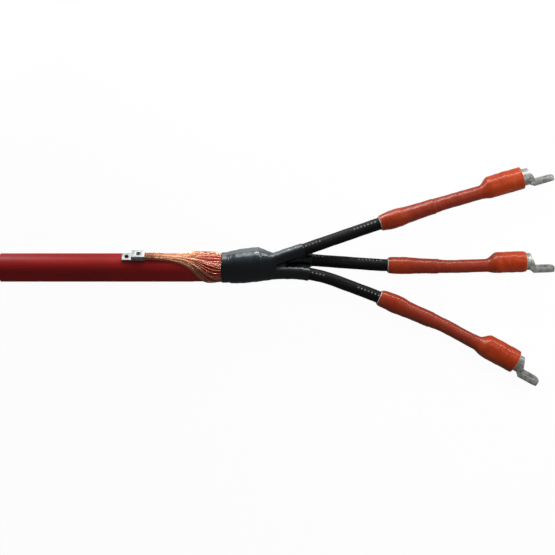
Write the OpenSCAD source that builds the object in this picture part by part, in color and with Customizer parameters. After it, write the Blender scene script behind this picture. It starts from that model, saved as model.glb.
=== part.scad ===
// Termination of a three-core screened power cable: red sheath stub, screen wires folded back to an
// earth lug, black breakout boot, and three cores with black sleeves, red insulating tubes and lugs.
// X runs along the cable from its cut end to the lugs, Z points up from the floor. Millimetres.

/* [Cable] */
// outside diameter of the red sheath
sheath_od = 52; // [40:0.5:70]
// wall of the sheath
sheath_wall = 2.6; // [1.5:0.1:5]
// length of the sheath from the cut end
sheath_len = 418; // [300:1:600]
// length of sheath roughened for the boot
abraded_len = 66; // [40:1:120]
// depth the roughening takes off the radius
abraded_depth = 0.4; // [0.3:0.05:0.8]
// diameter of one stranded conductor
conductor_d = 12.9; // [8:0.1:18]
// diameter over the core insulation
insulation_d = 18.6; // [14:0.1:26]
// diameter over the core screen
screen_d = 19.6; // [15:0.1:27]
// distance of each core from the cable axis
core_pitch_r = 11.45; // [9:0.05:16]
// turn of the three laid-up cores about the cable axis
core_roll = 45; // [0:1:119]
// diameter of the filler round the cores
filler_d = 44.4; // [36:0.1:60]
// filler past the end of the sheath
filler_extra = 8; // [2:1:20]

/* [Screen wires] */
// number of screen wires
wire_count = 42; // [24:6:48]
// diameter of one wire
wire_d = 1; // [0.6:0.05:1.4]
// how far the wires bunch together at the boot, in degrees
wire_bunch = 4; // [0:0.5:5]
// layers of wire in the gathered bundle
wire_layers = 6; // [4:1:8]
// pitch between the layers
wire_layer_pitch = 1.12; // [1.05:0.01:1.5]
// angle of the bundle from straight up, round the sheath
bundle_angle = 41; // [20:1:60]
// share of the way to the earth lug at which half of the gathering is done, wires from the near side
gather_near = 0.28; // [0.2:0.01:0.4]
// the same for wires that come round from the far side
gather_far = 0.22; // [0.2:0.01:0.4]
// share of its first angle that a wire keeps in the bundle
gather_rest = 0.032; // [0.03:0.001:0.05]
// how sharply the wires sweep together
gather_power = 3; // [2:0.1:4]
// how far the wires stand off the sheath before the boot
wire_slack = 1.6; // [0.8:0.1:3]
// length from the boot over which they come to stand off
wire_rise = 12; // [8:1:24]
// share of the way to the earth lug at which the bundle starts to lift to it
wire_lift = 0.56; // [0.4:0.01:0.7]

/* [Earth lug] */
// distance from the palm's start to the rim of the boot
earth_lug_back = 179.5; // [150:0.5:240]
// width of the clamp body
earth_w = 18; // [15:0.5:26]
// width of the palm
earth_palm_w = 15.5; // [12:0.5:15.5]
// length of the palm
earth_palm_len = 17.5; // [14:0.5:30]
// thickness of the palm
earth_palm_t = 3; // [2.5:0.5:6]
// diameter of the palm's bolt hole
earth_hole_d = 8.5; // [5.5:0.5:10]
// length of the clamp body
earth_body_len = 24; // [20:1:36]
// height of the clamp body
earth_body_h = 11.5; // [10:0.5:16]
// width of the slot that takes the wires
earth_slot_w = 12.4; // [11:0.1:14]
// height of the slot
earth_slot_h = 8.4; // [8:0.1:12]
// solid end of the body behind the slot
earth_floor = 6; // [3:0.5:10]
// air between the earth lug and the sheath
earth_gap = 0.8; // [0.7:0.05:2]
// diameter of the clamp screw
earth_screw_d = 8; // [5:0.5:10]
// clamp screw from the palm's end of the body
earth_screw_at = 13; // [8:0.5:20]

/* [Breakout boot] */
// sheath gripped by the rim of the boot
boot_over = 15; // [8:1:30]
// outside diameter of the rim band
boot_rim_d = 56; // [50:0.5:75]
// length of the rim band
boot_rim_len = 15; // [8:1:30]
// diameter behind the step
boot_step_d = 59; // [52:0.5:80]
// largest diameter of the boot
boot_max_d = 64; // [56:0.5:90]
// length of the boot's body behind the rim band
boot_body_len = 58; // [40:1:90]
// lean of the boot's body in plan
boot_lean = 6.5; // [0:0.5:8]
// wall of the boot's body
boot_wall = 2; // [1.2:0.1:4]
// length of the shoulder down to the fingers
boot_shoulder_len = 26; // [15:1:40]
// outside diameter of a finger
finger_d = 26.2; // [24:0.1:34]
// ends of the fingers along the cores, past the end of the sheath
finger_past = [139, 153, 146];

/* [Core routes] */
// upper core past the end of the sheath: straight, turn and turn radius, one after the other
route_1 = [[40, 19.3, 150], [185, -1.3, 300], [122, -1.7, 300], [300, 0, 0]];
// middle core
route_2 = [[45, 14, 120], [26, -18.6, 120], [131, 3.2, 300], [112.5, 3.6, 300], [300, 0, 0]];
// lower core
route_3 = [[30, 3, 400], [39, -23.6, 260], [64.5, -2.8, 300], [122, -5.3, 300], [300, 0, 0]];
// tilt of the plane that each core is bent in
route_tilt = [-8, -25, 5];

/* [Core sleeves] */
// outside diameter of a black sleeve
sleeve_d = 22.2; // [21:0.1:24]
// start of the sleeves along the cores, past the end of the sheath
sleeve_past = 96; // [87:1:120]
// sleeve hidden under the red tube
sleeve_under = 24; // [10:1:40]
// core screen left past the end of the sleeve
screen_past = 10; // [4:1:20]

/* [Insulating tubes] */
// start of each red tube along its core, past the end of the sheath
tube_past = [288, 293, 282];
// length of each red tube
tube_len = [274, 253, 277];
// wall of the red tube
tube_wall = 2.6; // [1.5:0.1:4]
// end of the bulge over the sleeve, from the tube's mouth
bulge_len = 33; // [20:1:60]
// length of the slope behind the bulge
bulge_slope = 9; // [4:1:20]
// length of the step down past the stress control tube
step_len = 8; // [4:1:12]
// air left between pieces that are shrunk together
shrink_gap = 0.05; // [0.02:0.01:0.1]
// length of the flare up to the lug
flare_len = 20; // [12:1:40]
// mastic wrapped round each lug's barrel
lug_wrap = [2.4, 1.2, 3.8];
// mastic wrapped on before the barrel's mouth
wrap_back = [12, 0.5, 10];
// width of the pale bead in the mouth of a red tube
bead_len = 4; // [2:0.5:8]
// how far the bead stands out of the mouth
bead_out = 1.5; // [0.5:0.1:3]

/* [Stress control] */
// wall of the stress control tube
stress_wall = 2.1; // [1:0.1:3]
// end of each stress control tube from the red tube's mouth
stress_end = [102, 90, 102];
// mastic between the sleeve and the stress control tube
stress_mastic_t = 0.6; // [0.3:0.1:1.5]

/* [Lugs] */
// outside diameter of a lug's barrel
lug_d = 31; // [22:0.5:42]
// bore of the barrel
lug_bore_d = 22; // [14:0.5:26]
// depth of the bore
lug_bore_depth = 48; // [30:1:80]
// length of the barrel along its top
lug_barrel_len = 61; // [45:1:100]
// slant of the barrel's front face
lug_slant = 20; // [0:1:45]
// barrel left bare past each red tube
lug_bare = [12.5, 8, 11];
// width of the palm
palm_w = 33; // [24:0.5:45]
// thickness of the palm
palm_t = 9; // [5:0.5:14]
// how far the palm's outer face lies beyond the barrel
palm_drop = 3; // [0:0.5:6]
// bevel at the root of the palm
palm_bevel = 5; // [1:0.5:7]
// palm past the foot of the slanted face
palm_len = 35; // [25:1:60]
// corner radius at the palm's tip
palm_corner = 11; // [4:0.5:16]
// diameter of the palm's bolt hole
palm_hole_d = 13; // [8.5:0.5:17]
// hole centre from the palm's tip
palm_hole_back = 16; // [12:0.5:30]
// turn of each palm's normal toward up
palm_turn = [9, 11, 18];
// diameter of a clamp bolt
bolt_d = 10; // [6:0.5:14]
// distances of the two clamp bolts from the barrel's mouth
bolt_at = [14, 35];

/* [Hidden] */
$fn = 48;
core_angle = [core_roll, core_roll - 120, core_roll + 120];
// routes from the cut end
route = [for (r = [route_1, route_2, route_3]) [for (i = [0:len(r) - 1])
    [r[i][0] + (i == 0 ? sheath_len : 0), r[i][1], r[i][2]]]];
sheath_r = sheath_od / 2;
conductor_r = conductor_d / 2;
insulation_r = insulation_d / 2;
screen_r = screen_d / 2;
sleeve_r = sleeve_d / 2;
lug_r = lug_d / 2;
// bends are drawn this much thinner than the straights they run into
bend_step = 0.04;
// bends run this far into the straights
bend_lap = 0.6;
// conductor pressed to the floor of the lug's bore by the bolts
lug_offset = lug_bore_d / 2 - conductor_r - shrink_gap;
stress_r1 = sleeve_r + stress_mastic_t + shrink_gap;
stress_r2 = insulation_r + shrink_gap;
tube_r1 = stress_r1 + stress_wall + shrink_gap;
tube_r2 = stress_r2 + stress_wall + shrink_gap;
tube_r3 = insulation_r + shrink_gap;
boot_x = sheath_len - boot_over;
finger_end = [for (p = finger_past) sheath_len + p];
sleeve_start = sheath_len + sleeve_past;
tube_start = [for (p = tube_past) sheath_len + p];
mouth = [for (k = [0:2]) tube_start[k] + tube_len[k] + lug_bare[k] - lug_barrel_len];
insulation_back = 6;
wire_r = wire_d / 2;
wire_in_r = filler_d / 2 + wire_r + 0.08;
wire_out_r = sheath_r - abraded_depth + wire_r + 0.08;
earth_base_r = sheath_r + earth_gap;
earth_axis_r = earth_base_r + earth_body_h / 2;
earth_lug_x = boot_x - earth_lug_back;
earth_body_x = earth_lug_x + earth_palm_len;
// way of the wires from the rim of the boot to just inside the clamp body
gather_len = earth_lug_back - earth_palm_len - earth_body_len + 2;

// length along core k at the start of step i of its route
function bend_len(step) = PI * step[2] * abs(step[1]) / 180;
function s_of(k, i) = i == 0 ? 0 : s_of(k, i - 1) + route[k][i - 1][0] + bend_len(route[k][i - 1]);
// heading of core k at the start of step i
function head(k, i) = i == 0 ? 0 : head(k, i - 1) + route[k][i - 1][1];
// end of the straight of step i, and start of step i, in the plane of the route
function straight_end(k, i) = at(k, i) + route[k][i][0] * [cos(head(k, i)), sin(head(k, i))];
function turn_r(step) = sign(step[1]) * step[2];
function at(k, i) = i == 0 ? [0, 0] : straight_end(k, i - 1) + turn_r(route[k][i - 1])
    * [sin(head(k, i)) - sin(head(k, i - 1)), cos(head(k, i - 1)) - cos(head(k, i))];
// step of core k whose straight holds length s
function step_at(k, s) = max([for (i = [0:len(route[k]) - 1]) if (s_of(k, i) <= s) i]);

// plane that core k is bent in
module in_plane(k) {
    translate([0, core_pitch_r * cos(core_angle[k]), core_pitch_r * sin(core_angle[k])])
        rotate([route_tilt[k], 0, 0])
            children();
}

// place at length s on core k, on a straight or in a bend, X along the core
module on_core(k, s) {
    i = step_at(k, s);
    h = head(k, i);
    step = route[k][i];
    past = s - s_of(k, i) - step[0];
    turned = past > 0 && step[2] > 0 ? sign(step[1]) * past / step[2] * 180 / PI : 0;
    p = turned == 0 ? at(k, i) + (s - s_of(k, i)) * [cos(h), sin(h)]
        : straight_end(k, i) + turn_r(step) * [sin(h + turned) - sin(h), cos(h) - cos(h + turned)];
    in_plane(k)
        translate([p[0], p[1], 0])
            rotate([0, 0, h + turned])
                children();
}

// one bend of a round run, between two lengths past the bend's start
module bend(k, i, c0, c1, r) {
    step = route[k][i];
    h = head(k, i);
    c = straight_end(k, i) + turn_r(step) * [-sin(h), cos(h)];
    per = 180 / PI / step[2];
    first = step[1] > 0 ? h - 90 + c0 * per : h + 90 - c1 * per;
    in_plane(k)
        translate([c[0], c[1], 0])
            rotate([0, 0, first])
                rotate_extrude(angle = (c1 - c0) * per)
                    translate([step[2], 0])
                        circle(r = r);
}

// solid round run of radius r along core k; bends thinner by step, or wider for a bore
module run(k, s0, s1, r, step = bend_step) {
    for (i = [0:len(route[k]) - 1]) {
        a = s_of(k, i);
        b = a + route[k][i][0];
        c = b + bend_len(route[k][i]);
        if (min(b, s1) > max(a, s0))
            on_core(k, max(a, s0))
                rotate([0, 90, 0])
                    cylinder(h = min(b, s1) - max(a, s0), r = r);
        if (c > b && min(c, s1) > max(b, s0))
            bend(k, i, max(b, s0) - b - (s0 < b ? bend_lap : 0),
                min(c, s1) - b + (s1 > c ? bend_lap : 0), r - step);
    }
}

// tube of one radius along core k
module tube_run(k, s0, s1, r_out, r_in) {
    difference() {
        run(k, s0, s1, r_out);
        run(k, s0 - 1, s1 + 1, r_in, -bend_step);
    }
}

// body of revolution on a straight of core k, from [length, radius] pairs
module turned(k, s, points) {
    on_core(k, s)
        rotate([0, 90, 0])
            rotate_extrude()
                polygon(concat([[0, points[0][0]]], [for (p = points) [p[1], p[0]]],
                    [[0, points[len(points) - 1][0]]]));
}

// place at the mouth of lug k, X along the barrel's axis, Y the palm's normal
module on_lug(k) {
    on_core(k, mouth[k])
        rotate([palm_turn[k] - route_tilt[k], 0, 0])
            translate([0, lug_offset, 0])
                children();
}

module outer_sheath() {
    color("firebrick")
        rotate([0, 90, 0])
            difference() {
                union() {
                    cylinder(h = sheath_len - abraded_len, r = sheath_r);
                    cylinder(h = sheath_len, r = sheath_r - abraded_depth);
                }
                translate([0, 0, -1])
                    cylinder(h = sheath_len + 2, r = sheath_r - sheath_wall);
            }
}

module filler() {
    color("dimgray")
        difference() {
            rotate([0, 90, 0])
                cylinder(h = sheath_len + filler_extra, r = filler_d / 2);
            for (k = [0:2])
                run(k, -1, sheath_len + filler_extra + 1, screen_r + shrink_gap);
        }
}

// share of its first angle from the bundle that wire i still has, u before the rim
function gather_half(i) = gather_len * (wire_angle(i) > 0 ? gather_far : gather_near);
function spread(i, u) = gather_rest + (1 - gather_rest) / (1 + pow(u / gather_half(i), gather_power));
function smooth(t) = let (c = min(max(t, 0), 1)) c * c * (3 - 2 * c);
// first angle of wire i from the bundle, bunched in six groups
function wire_angle(i) = let (d = (i + 0.5) * 360 / wire_count - 180) d + wire_bunch * sin(6 * d);
// layer of wire i in the bundle, neighbours kept apart
function wire_layer(i) = (i % 2 == 0 ? (i % wire_layers) / 2
    : (i % wire_layers - 1) / 2 + ceil(wire_layers / 2));
// radius of wire i at u before the rim
function wire_radius(i, u) = wire_out_r + wire_slack * smooth(u / wire_rise)
    + (earth_axis_r - (wire_layers - 1) / 2 * wire_layer_pitch - wire_out_r - wire_slack)
    * smooth((u / gather_len - wire_lift) / (1 - wire_lift))
    + wire_layer(i) * wire_layer_pitch * (1 - spread(i, u));
function round_cable(x, r, angle) = [x, r * sin(angle), r * cos(angle)];
gather_at = concat([for (p = [0, 16, 24, 30, 35, 40, 45, 50, 56, 63, 72, 84, 100, 120, 140])
    p / 140 * gather_len], [gather_len + earth_body_len - earth_floor - 5]);
// centre line of wire i: under the sheath, round its end, back over it and in to the earth lug
function wire_path(i) = let (a = bundle_angle + wire_angle(i), e = sheath_len,
    m = (wire_in_r + wire_out_r) / 2, h = (wire_out_r - wire_in_r) / 2) concat(
    [for (p = [[0.5, wire_in_r], [e - 2, wire_in_r], [e + wire_r + 0.6, m - h * 0.86],
        [e + wire_r + 1.4, m], [e + wire_r + 0.6, m + h * 0.86], [e - 2, wire_out_r]])
        round_cable(p[0], p[1], a)],
    [for (u = gather_at)
        round_cable(boot_x - u, wire_radius(i, u), bundle_angle + wire_angle(i) * spread(i, u))]);
function unit(v) = v / norm(v);
// direction of the path at point j
function along(p, j) = unit(unit(p[min(j + 1, len(p) - 1)] - p[min(j, len(p) - 2)])
    + unit(p[max(j, 1)] - p[max(j - 1, 0)]));
wire_sides = 5;

module wire(i) {
    p = wire_path(i);
    n = len(p);
    rings = [for (j = [0:n - 1]) let (t = along(p, j), c = unit([0, p[j][2], -p[j][1]]),
        e2 = unit(c - (c * t) * t), e1 = cross(e2, t))
        for (q = [0:wire_sides - 1]) p[j] + wire_r * (cos(360 / wire_sides * q) * e1
            + sin(360 / wire_sides * q) * e2)];
    sides = [for (j = [0:n - 2]) for (q = [0:wire_sides - 1]) let (a = j * wire_sides + q,
        b = j * wire_sides + (q + 1) % wire_sides) each [[a, b, b + wire_sides], [a, b + wire_sides,
        a + wire_sides]]];
    polyhedron(points = rings, faces = concat(sides, [[for (q = [wire_sides - 1:-1:0]) q]],
        [[for (q = [0:wire_sides - 1]) (n - 1) * wire_sides + q]]));
}

module screen_wires() {
    color("peru")
        for (i = [0:wire_count - 1])
            wire(i);
}

// place on the bundle's line: X along the cable, Z out from the sheath
module on_bundle() {
    rotate([-bundle_angle, 0, 0])
        children();
}

// flat outline with round corners, from x0 to x1 and w wide
module round_plate(x0, x1, w, r) {
    translate([x0 + r, -w / 2])
        square([x1 - x0 - 2 * r, w]);
    translate([x0, r - w / 2])
        square([x1 - x0, w - 2 * r]);
    for (x = [x0 + r, x1 - r], y = [-1, 1])
        translate([x, y * (w / 2 - r)])
            circle(r = r);
}

module earth_lug() {
    color("gainsboro")
        on_bundle()
            difference() {
                union() {
                    translate([earth_body_x, 0, earth_axis_r])
                        rotate([0, 90, 0])
                            linear_extrude(earth_body_len)
                                round_plate(-earth_body_h / 2, earth_body_h / 2, earth_w, 2);
                    translate([0, 0, earth_base_r + 0.1])
                        linear_extrude(earth_palm_t)
                            round_plate(earth_lug_x, earth_body_x + earth_floor - 1, earth_palm_w, 1.5);
                }
                translate([earth_lug_x + earth_palm_len / 2 - 0.5, 0, earth_base_r - 1])
                    cylinder(h = earth_palm_t + 2, d = earth_hole_d);
                translate([earth_body_x + earth_floor, 0, earth_axis_r])
                    rotate([0, 90, 0])
                        linear_extrude(earth_body_len)
                            round_plate(-earth_slot_h / 2, earth_slot_h / 2, earth_slot_w, 1.5);
                translate([earth_body_x + earth_screw_at, 0, earth_axis_r])
                    cylinder(h = earth_body_h, d = earth_screw_d + 2 * shrink_gap);
            }
}

module earth_screw() {
    color("dimgray")
        on_bundle()
            translate([earth_body_x + earth_screw_at, 0, earth_axis_r])
                difference() {
                    translate([0, 0, earth_slot_h / 2 - 0.3])
                        cylinder(h = (earth_body_h - earth_slot_h) / 2 + 0.9, d = earth_screw_d);
                    translate([0, 0, earth_body_h / 2 - 1])
                        cylinder(h = 4, d = earth_screw_d * 0.58, $fn = 6);
                }
}

// place at the start of the boot's body, Z along its leaning axis
module on_boot() {
    translate([boot_x + boot_rim_len, 0, 0])
        rotate([0, 0, boot_lean])
            rotate([0, 90, 0])
                children();
}

// body of the boot from the rim to the shoulder, shrunk inward by t
module boot_body(t) {
    on_boot()
        rotate_extrude()
            polygon([[0, -2 + t], [boot_step_d / 2 - 1 - t, -2 + t], [boot_step_d / 2 - t, 0.5 + t],
                [(boot_step_d + boot_max_d) / 4 + 0.6 - t, boot_body_len * 0.36],
                [boot_max_d / 2 - t, boot_body_len * 0.82], [boot_max_d / 2 - 0.6 - t, boot_body_len],
                [0, boot_body_len]]);
}

// shoulder from the body to the roots of the fingers
module boot_shoulder(t) {
    hull() {
        on_boot()
            translate([0, 0, boot_body_len - 2])
                cylinder(h = 4, r1 = boot_max_d / 2 - 0.7 - t, r2 = boot_max_d / 2 - 3 - t);
        for (k = [0:2])
            on_core(k, boot_x + boot_rim_len + boot_body_len + boot_shoulder_len - 4)
                rotate([0, 90, 0])
                    cylinder(h = 4 - t, d = finger_d - 2 * t, $fn = 32);
    }
}

module breakout_boot() {
    color("#202226")
        difference() {
            union() {
                translate([boot_x, 0, 0])
                    rotate([0, 90, 0])
                        cylinder(h = boot_rim_len + 3, d = boot_rim_d);
                boot_body(0);
                boot_shoulder(0);
                for (k = [0:2])
                    run(k, boot_x + boot_rim_len + boot_body_len + 8, finger_end[k], finger_d / 2 + 0.05);
            }
            translate([boot_x - 1, 0, 0])
                rotate([0, 90, 0])
                    cylinder(h = boot_rim_len + 8, r = wire_out_r + wire_r + shrink_gap);
            boot_body(boot_wall);
            boot_shoulder(boot_wall);
            for (k = [0:2])
                run(k, boot_x + boot_rim_len + boot_body_len, finger_end[k] + 1,
                    sleeve_r + shrink_gap, -bend_step);
        }
}

module crotch_mastic() {
    start = sheath_len + filler_extra + 1;
    color("darkkhaki")
        difference() {
            boot_body(boot_wall + shrink_gap);
            translate([start - boot_body_len, -boot_max_d, -boot_max_d])
                cube([boot_body_len, 2 * boot_max_d, 2 * boot_max_d]);
            for (k = [0:2])
                run(k, start - 2, start + 2 * boot_body_len, screen_r + shrink_gap, -bend_step);
        }
}

module conductor(k) {
    color("chocolate")
        run(k, 0, mouth[k] + lug_bore_depth - 1, conductor_r);
}

module insulation(k) {
    color("ivory")
        tube_run(k, 0, mouth[k] - insulation_back, insulation_r, conductor_r + shrink_gap);
}

module core_screen(k) {
    color("#303030")
        tube_run(k, 0, tube_start[k] + sleeve_under + screen_past, screen_r, insulation_r + shrink_gap);
}

module core_sleeve(k) {
    color("#1c1c20")
        tube_run(k, sleeve_start, tube_start[k] + sleeve_under, sleeve_r, screen_r + shrink_gap);
}

module mouth_bead(k) {
    color("tan")
        difference() {
            turned(k, tube_start[k], [[-bead_out, sleeve_r + 0.6], [-2 * shrink_gap, tube_r1 + 0.8],
                [-shrink_gap, tube_r1 - shrink_gap], [bead_len, tube_r1 - shrink_gap]]);
            run(k, tube_start[k] - bead_out - 1, tube_start[k] + bead_len + 1, sleeve_r + shrink_gap);
        }
}

module stress_mastic(k) {
    color("darkkhaki")
        difference() {
            turned(k, tube_start[k], [[bead_len + 0.1, stress_r1 - shrink_gap],
                [bulge_len, stress_r1 - shrink_gap],
                [bulge_len + 0.9 * bulge_slope, stress_r1 + 0.9 * (stress_r2 - stress_r1) - shrink_gap]]);
            run(k, tube_start[k], tube_start[k] + bulge_len + bulge_slope + 5, insulation_r + shrink_gap);
            run(k, tube_start[k], tube_start[k] + sleeve_under + screen_past + 0.1, screen_r + shrink_gap);
            run(k, tube_start[k], tube_start[k] + sleeve_under + 0.1, sleeve_r + shrink_gap);
        }
}

module stress_tube(k) {
    color("#2a2a2a")
        difference() {
            turned(k, tube_start[k], [[bead_len + 0.1, stress_r1 + stress_wall],
                [bulge_len, stress_r1 + stress_wall], [bulge_len + bulge_slope, stress_r2 + stress_wall],
                [stress_end[k], stress_r2 + stress_wall]]);
            turned(k, tube_start[k], [[0, stress_r1], [bulge_len, stress_r1],
                [bulge_len + bulge_slope, stress_r2], [stress_end[k] + 1, stress_r2]]);
        }
}

// red tube from its mouth to the thin part, as a body of revolution grown by t
module tube_front(k, t, past) {
    turned(k, tube_start[k], [[-past, tube_r1 + t], [bulge_len, tube_r1 + t],
        [bulge_len + bulge_slope, tube_r2 + t], [stress_end[k] + 0.1, tube_r2 + t],
        [stress_end[k] + step_len, tube_r3 + bend_step + t],
        [stress_end[k] + step_len + 2, tube_r3 + bend_step + t]]);
}

// start of the flare along core k
function flare_at(k) = mouth[k] - wrap_back[k] - flare_len;

// flare from the thin part up to the lug, grown by t
module tube_flare(k, t) {
    hull() {
        on_core(k, flare_at(k))
            rotate([0, 90, 0])
                cylinder(h = 1, r = tube_r3 + 0.08 + t);
        on_lug(k)
            translate([-wrap_back[k], 0, 0])
                rotate([0, 90, 0])
                    cylinder(h = 1, r = lug_r + lug_wrap[k] + t);
    }
}

// red tube over the lug's barrel
module tube_end(k, t, past) {
    first = 0.5 - wrap_back[k];
    last = lug_barrel_len - lug_bare[k];
    on_lug(k)
        rotate([0, 90, 0])
            rotate_extrude()
                polygon([[0, first], [lug_r + lug_wrap[k] + 0.06 + t, first],
                    [lug_r + lug_wrap[k] + 0.06 + t, last - 6], [lug_r + lug_wrap[k] - 1 + t, last + past],
                    [0, last + past]]);
}

module insulating_tube(k) {
    color("orangered")
        difference() {
            union() {
                tube_front(k, tube_wall, 0);
                run(k, tube_start[k] + stress_end[k] + step_len + 1, flare_at(k) + 0.5, tube_r3 + tube_wall);
                tube_flare(k, tube_wall);
                tube_end(k, tube_wall, 0);
            }
            tube_front(k, 0, 1);
            run(k, tube_start[k] + stress_end[k] + step_len + 1, flare_at(k) + 0.5, tube_r3, -bend_step);
            tube_flare(k, 0);
            tube_end(k, 0, 1);
        }
}

module lug_mastic(k) {
    color("darkkhaki")
        difference() {
            union() {
                tube_flare(k, -0.1);
                tube_end(k, -0.1, -0.2);
            }
            run(k, flare_at(k) - 5, mouth[k] - insulation_back + 0.1, insulation_r + shrink_gap);
            run(k, flare_at(k) - 5, mouth[k] + 5, conductor_r + shrink_gap);
            on_lug(k)
                rotate([0, 90, 0])
                    cylinder(h = lug_barrel_len, r = lug_r + shrink_gap);
        }
}

// slanted front face of the barrel at height y off its axis
function lug_front(y) = lug_barrel_len + tan(lug_slant) * (lug_r - y);

// half space past a line through [x, y] that leans back by angle, w wide each way
module lean_cut(x, y, angle, w) {
    translate([x, y, 0])
        rotate([0, 0, angle])
            translate([0, -w, -w])
                cube([w, 2 * w, 2 * w]);
}

module lug(k) {
    low = -lug_r - palm_drop;
    foot = lug_front(low + palm_t);
    root = lug_front(low) - palm_t;
    tip = foot + palm_len;
    color("silver")
        on_lug(k)
            difference() {
                union() {
                    difference() {
                        rotate([0, 90, 0])
                            cylinder(h = foot + palm_t, r = lug_r);
                        lean_cut(lug_barrel_len, lug_r, lug_slant, 3 * lug_d);
                    }
                    difference() {
                        translate([0, low + palm_t, 0])
                            rotate([90, 0, 0])
                                linear_extrude(palm_t) {
                                    translate([root - palm_bevel, -palm_w / 2])
                                        square([tip - palm_corner - root + palm_bevel, palm_w]);
                                    translate([foot, palm_corner - palm_w / 2])
                                        square([palm_len, palm_w - 2 * palm_corner]);
                                    for (z = [-1, 1])
                                        translate([tip - palm_corner, z * (palm_w / 2 - palm_corner)])
                                            circle(r = palm_corner);
                                }
                        lean_cut(root, low, 180 + 45, 3 * lug_d);
                    }
                }
                rotate([0, 90, 0])
                    translate([0, 0, -1])
                        cylinder(h = lug_bore_depth + 1, d = lug_bore_d);
                translate([tip - palm_hole_back, 0, 0])
                    rotate([90, 0, 0])
                        cylinder(h = 2 * lug_d, d = palm_hole_d);
                for (x = bolt_at)
                    translate([x, 0, 0])
                        rotate([-90, 0, 0])
                            cylinder(h = 2 * lug_r, d = bolt_d + 2 * shrink_gap);
            }
}

module lug_bolts(k) {
    top = sqrt(lug_r * lug_r - bolt_d * bolt_d / 4) - 0.1;
    low = conductor_r - lug_offset + 2 * shrink_gap;
    color("gray")
        on_lug(k)
            for (x = bolt_at)
                translate([x, low, 0])
                    rotate([-90, 0, 0])
                        cylinder(h = top - low, d = bolt_d);
}

outer_sheath();
filler();
screen_wires();
earth_lug();
earth_screw();
breakout_boot();
crotch_mastic();
conductor(0);  // conductor_1
conductor(1);  // conductor_2
conductor(2);  // conductor_3
insulation(0);  // insulation_1
insulation(1);  // insulation_2
insulation(2);  // insulation_3
core_screen(0);  // core_screen_1
core_screen(1);  // core_screen_2
core_screen(2);  // core_screen_3
core_sleeve(0);  // core_sleeve_1
core_sleeve(1);  // core_sleeve_2
core_sleeve(2);  // core_sleeve_3
mouth_bead(0);  // mouth_bead_1
mouth_bead(1);  // mouth_bead_2
mouth_bead(2);  // mouth_bead_3
stress_mastic(0);  // stress_mastic_1
stress_mastic(1);  // stress_mastic_2
stress_mastic(2);  // stress_mastic_3
stress_tube(0);  // stress_tube_1
stress_tube(1);  // stress_tube_2
stress_tube(2);  // stress_tube_3
insulating_tube(0);  // insulating_tube_1
insulating_tube(1);  // insulating_tube_2
insulating_tube(2);  // insulating_tube_3
lug_mastic(0);  // lug_mastic_1
lug_mastic(1);  // lug_mastic_2
lug_mastic(2);  // lug_mastic_3
lug(0);  // lug_1
lug(1);  // lug_2
lug(2);  // lug_3
lug_bolts(0);  // lug_bolts_1
lug_bolts(1);  // lug_bolts_2
lug_bolts(2);  // lug_bolts_3
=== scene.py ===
import math
import random
import bmesh
import bpy
import numpy as np
from mathutils import Matrix, Vector


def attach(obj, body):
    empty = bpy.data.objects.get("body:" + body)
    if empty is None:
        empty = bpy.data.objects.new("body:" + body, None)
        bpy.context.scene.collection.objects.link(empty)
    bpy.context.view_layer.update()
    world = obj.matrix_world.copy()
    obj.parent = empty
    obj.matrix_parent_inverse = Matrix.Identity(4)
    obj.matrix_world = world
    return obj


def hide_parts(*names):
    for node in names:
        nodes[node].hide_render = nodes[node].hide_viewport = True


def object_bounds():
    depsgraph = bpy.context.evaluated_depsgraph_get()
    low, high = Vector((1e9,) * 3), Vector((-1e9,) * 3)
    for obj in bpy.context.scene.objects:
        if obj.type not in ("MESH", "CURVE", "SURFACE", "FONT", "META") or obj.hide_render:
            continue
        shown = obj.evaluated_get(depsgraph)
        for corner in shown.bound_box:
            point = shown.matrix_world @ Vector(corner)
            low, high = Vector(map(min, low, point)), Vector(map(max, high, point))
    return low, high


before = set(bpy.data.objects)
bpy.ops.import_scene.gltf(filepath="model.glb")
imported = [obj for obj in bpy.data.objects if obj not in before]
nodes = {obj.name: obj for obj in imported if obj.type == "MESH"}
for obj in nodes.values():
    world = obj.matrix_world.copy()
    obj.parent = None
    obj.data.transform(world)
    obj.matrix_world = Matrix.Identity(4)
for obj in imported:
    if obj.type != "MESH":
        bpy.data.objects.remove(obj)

cadBox = [list(corner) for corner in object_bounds()]
mm = 0.001
fullTurn = 2 * math.pi
scene = bpy.context.scene
scene.view_settings.view_transform = "Standard"
print("frame loaded:", len(nodes), "nodes")


def addObject(name, data):
    made = bpy.data.objects.new(name, data)
    scene.collection.objects.link(made)
    return made


# camera and light

cameraSet = {"pixelMm": 1.83, "imagePixels": 555, "axisPixel": (1.2, 267.5), "distance": 2.4, "sensor": 36.0}


def makeCamera(s):
    half = s["imagePixels"] / 2
    x = (half - s["axisPixel"][0]) * s["pixelMm"] * mm
    y = (s["axisPixel"][1] - half) * s["pixelMm"] * mm
    data = bpy.data.cameras.new("camera")
    data.sensor_width = s["sensor"]
    data.lens = s["sensor"] * s["distance"] / (s["imagePixels"] * s["pixelMm"] * mm)
    camera = addObject("camera", data)
    camera.location = (x, y, s["distance"])
    scene.camera = camera


def makeLamp(name, place, target, size, watts, gloss, spread):
    data = bpy.data.lights.new(name, "AREA")
    data.shape = "RECTANGLE"
    data.size, data.size_y = size
    data.energy = watts
    data.spread = math.radians(spread)
    lamp = addObject(name, data)
    lamp.location = place
    lamp.rotation_euler = (Vector(target) - Vector(place)).to_track_quat("-Z", "Y").to_euler()
    lamp.visible_camera = False
    lamp.visible_glossy = gloss


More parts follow.
